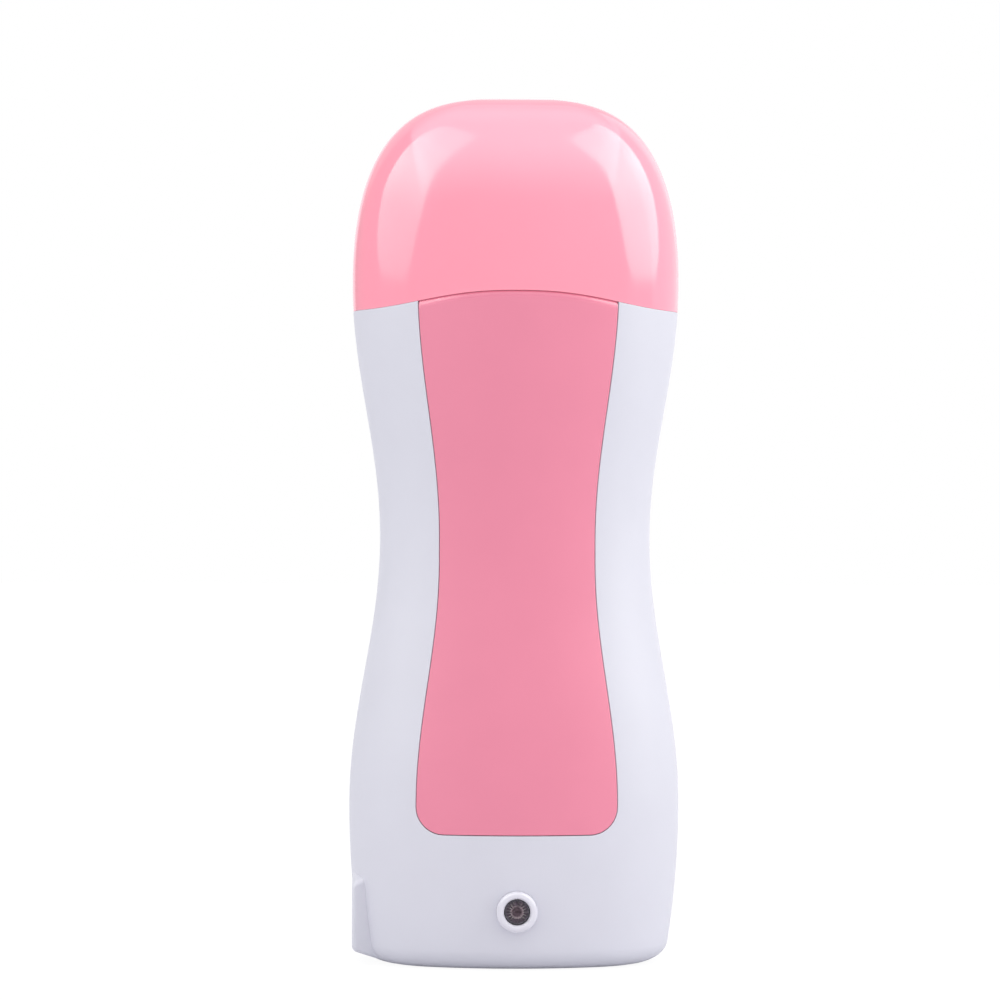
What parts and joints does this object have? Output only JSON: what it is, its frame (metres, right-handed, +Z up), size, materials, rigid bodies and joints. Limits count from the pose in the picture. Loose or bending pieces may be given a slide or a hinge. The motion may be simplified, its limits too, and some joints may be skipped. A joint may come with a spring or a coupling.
{
  "type": "roll-on wax heater",
  "caption": "Hand-held roll-on wax heater: waisted two-shell housing with inlaid front panel, domed cap, heated bay, wax cartridge with roller, indicator lamp and side power inlet.",
  "frame": {"origin": "on the floor under the middle of the housing's bounding box", "axes": "+Z up along the height, front panel faces -Y, width along X with the power inlet on -X"},
  "size_m": [0.075, 0.0541, 0.196],
  "materials": {
    "housing_white": "satin gloss",
    "panel_pink": "satin",
    "cap_pink": "gloss",
    "neck_white": "satin",
    "inlet_black": "matte",
    "contact_metal": "nickel plated",
    "screw_steel": "zinc plated",
    "floor_plastic": "matte",
    "tray_aluminium": "satin",
    "heater_ceramic": "film wrapped",
    "insulation": "matte",
    "clip_steel": "spring steel",
    "thermostat_body": "matte",
    "fuse_body": "satin",
    "lens_smoke": "gloss",
    "neon_glass": "gloss",
    "board_green": "solder mask",
    "resistor_body": "lacquer",
    "lead_white": "silicone",
    "lead_blue": "silicone",
    "lead_brown": "silicone",
    "tank_plastic": "translucent satin",
    "wax_honey": "gloss",
    "head_white": "satin",
    "roller_plastic": "gloss",
    "pin_steel": "bright"
  },
  "bodies": {
    "housing": {"front_shell": "housing_white", "rear_shell": "housing_white", "front_panel": "panel_pink", "neck_collar": "neck_white", "power_inlet": "inlet_black", "contact_pins": "contact_metal", "shell_screws": "screw_steel", "bay_floor": "floor_plastic", "heat_tray": "tray_aluminium", "tray_screws": "screw_steel", "ptc_heater": "heater_ceramic", "insulation_sheet": "insulation", "ptc_clip": "clip_steel", "clip_rivets": "fuse_body", "thermostat": "thermostat_body", "thermal_fuse": "fuse_body", "lamp_bezel": "housing_white", "lamp_lens": "lens_smoke", "neon_lamp": "neon_glass", "lamp_board": "board_green", "lamp_resistor": "resistor_body", "live_lead": "lead_brown", "neutral_lead": "lead_blue", "fuse_lead": "lead_white", "lamp_leads": "lead_white"},
    "cap": {"cap": "cap_pink"},
    "cartridge": {"cartridge_tank": "tank_plastic", "wax_fill": "wax_honey", "cartridge_head": "head_white"},
    "roller": {"roller": "roller_plastic", "roller_pin": "pin_steel"}
  },
  "joints": [
    {"name": "cartridge_lift", "type": "slide", "parent": "housing", "child": "cartridge", "axis": [0, 0, 1], "range_m": [0, 0.115]},
    {"name": "cap_lift", "type": "slide", "parent": "cartridge", "child": "cap", "axis": [0, 0, 1], "range_m": [0, 0.06]},
    {"name": "roller_spin", "type": "hinge", "parent": "cartridge", "child": "roller", "pos_m": [0, 0, 0.163], "axis": [1, 0, 0], "continuous": true}
  ]
}
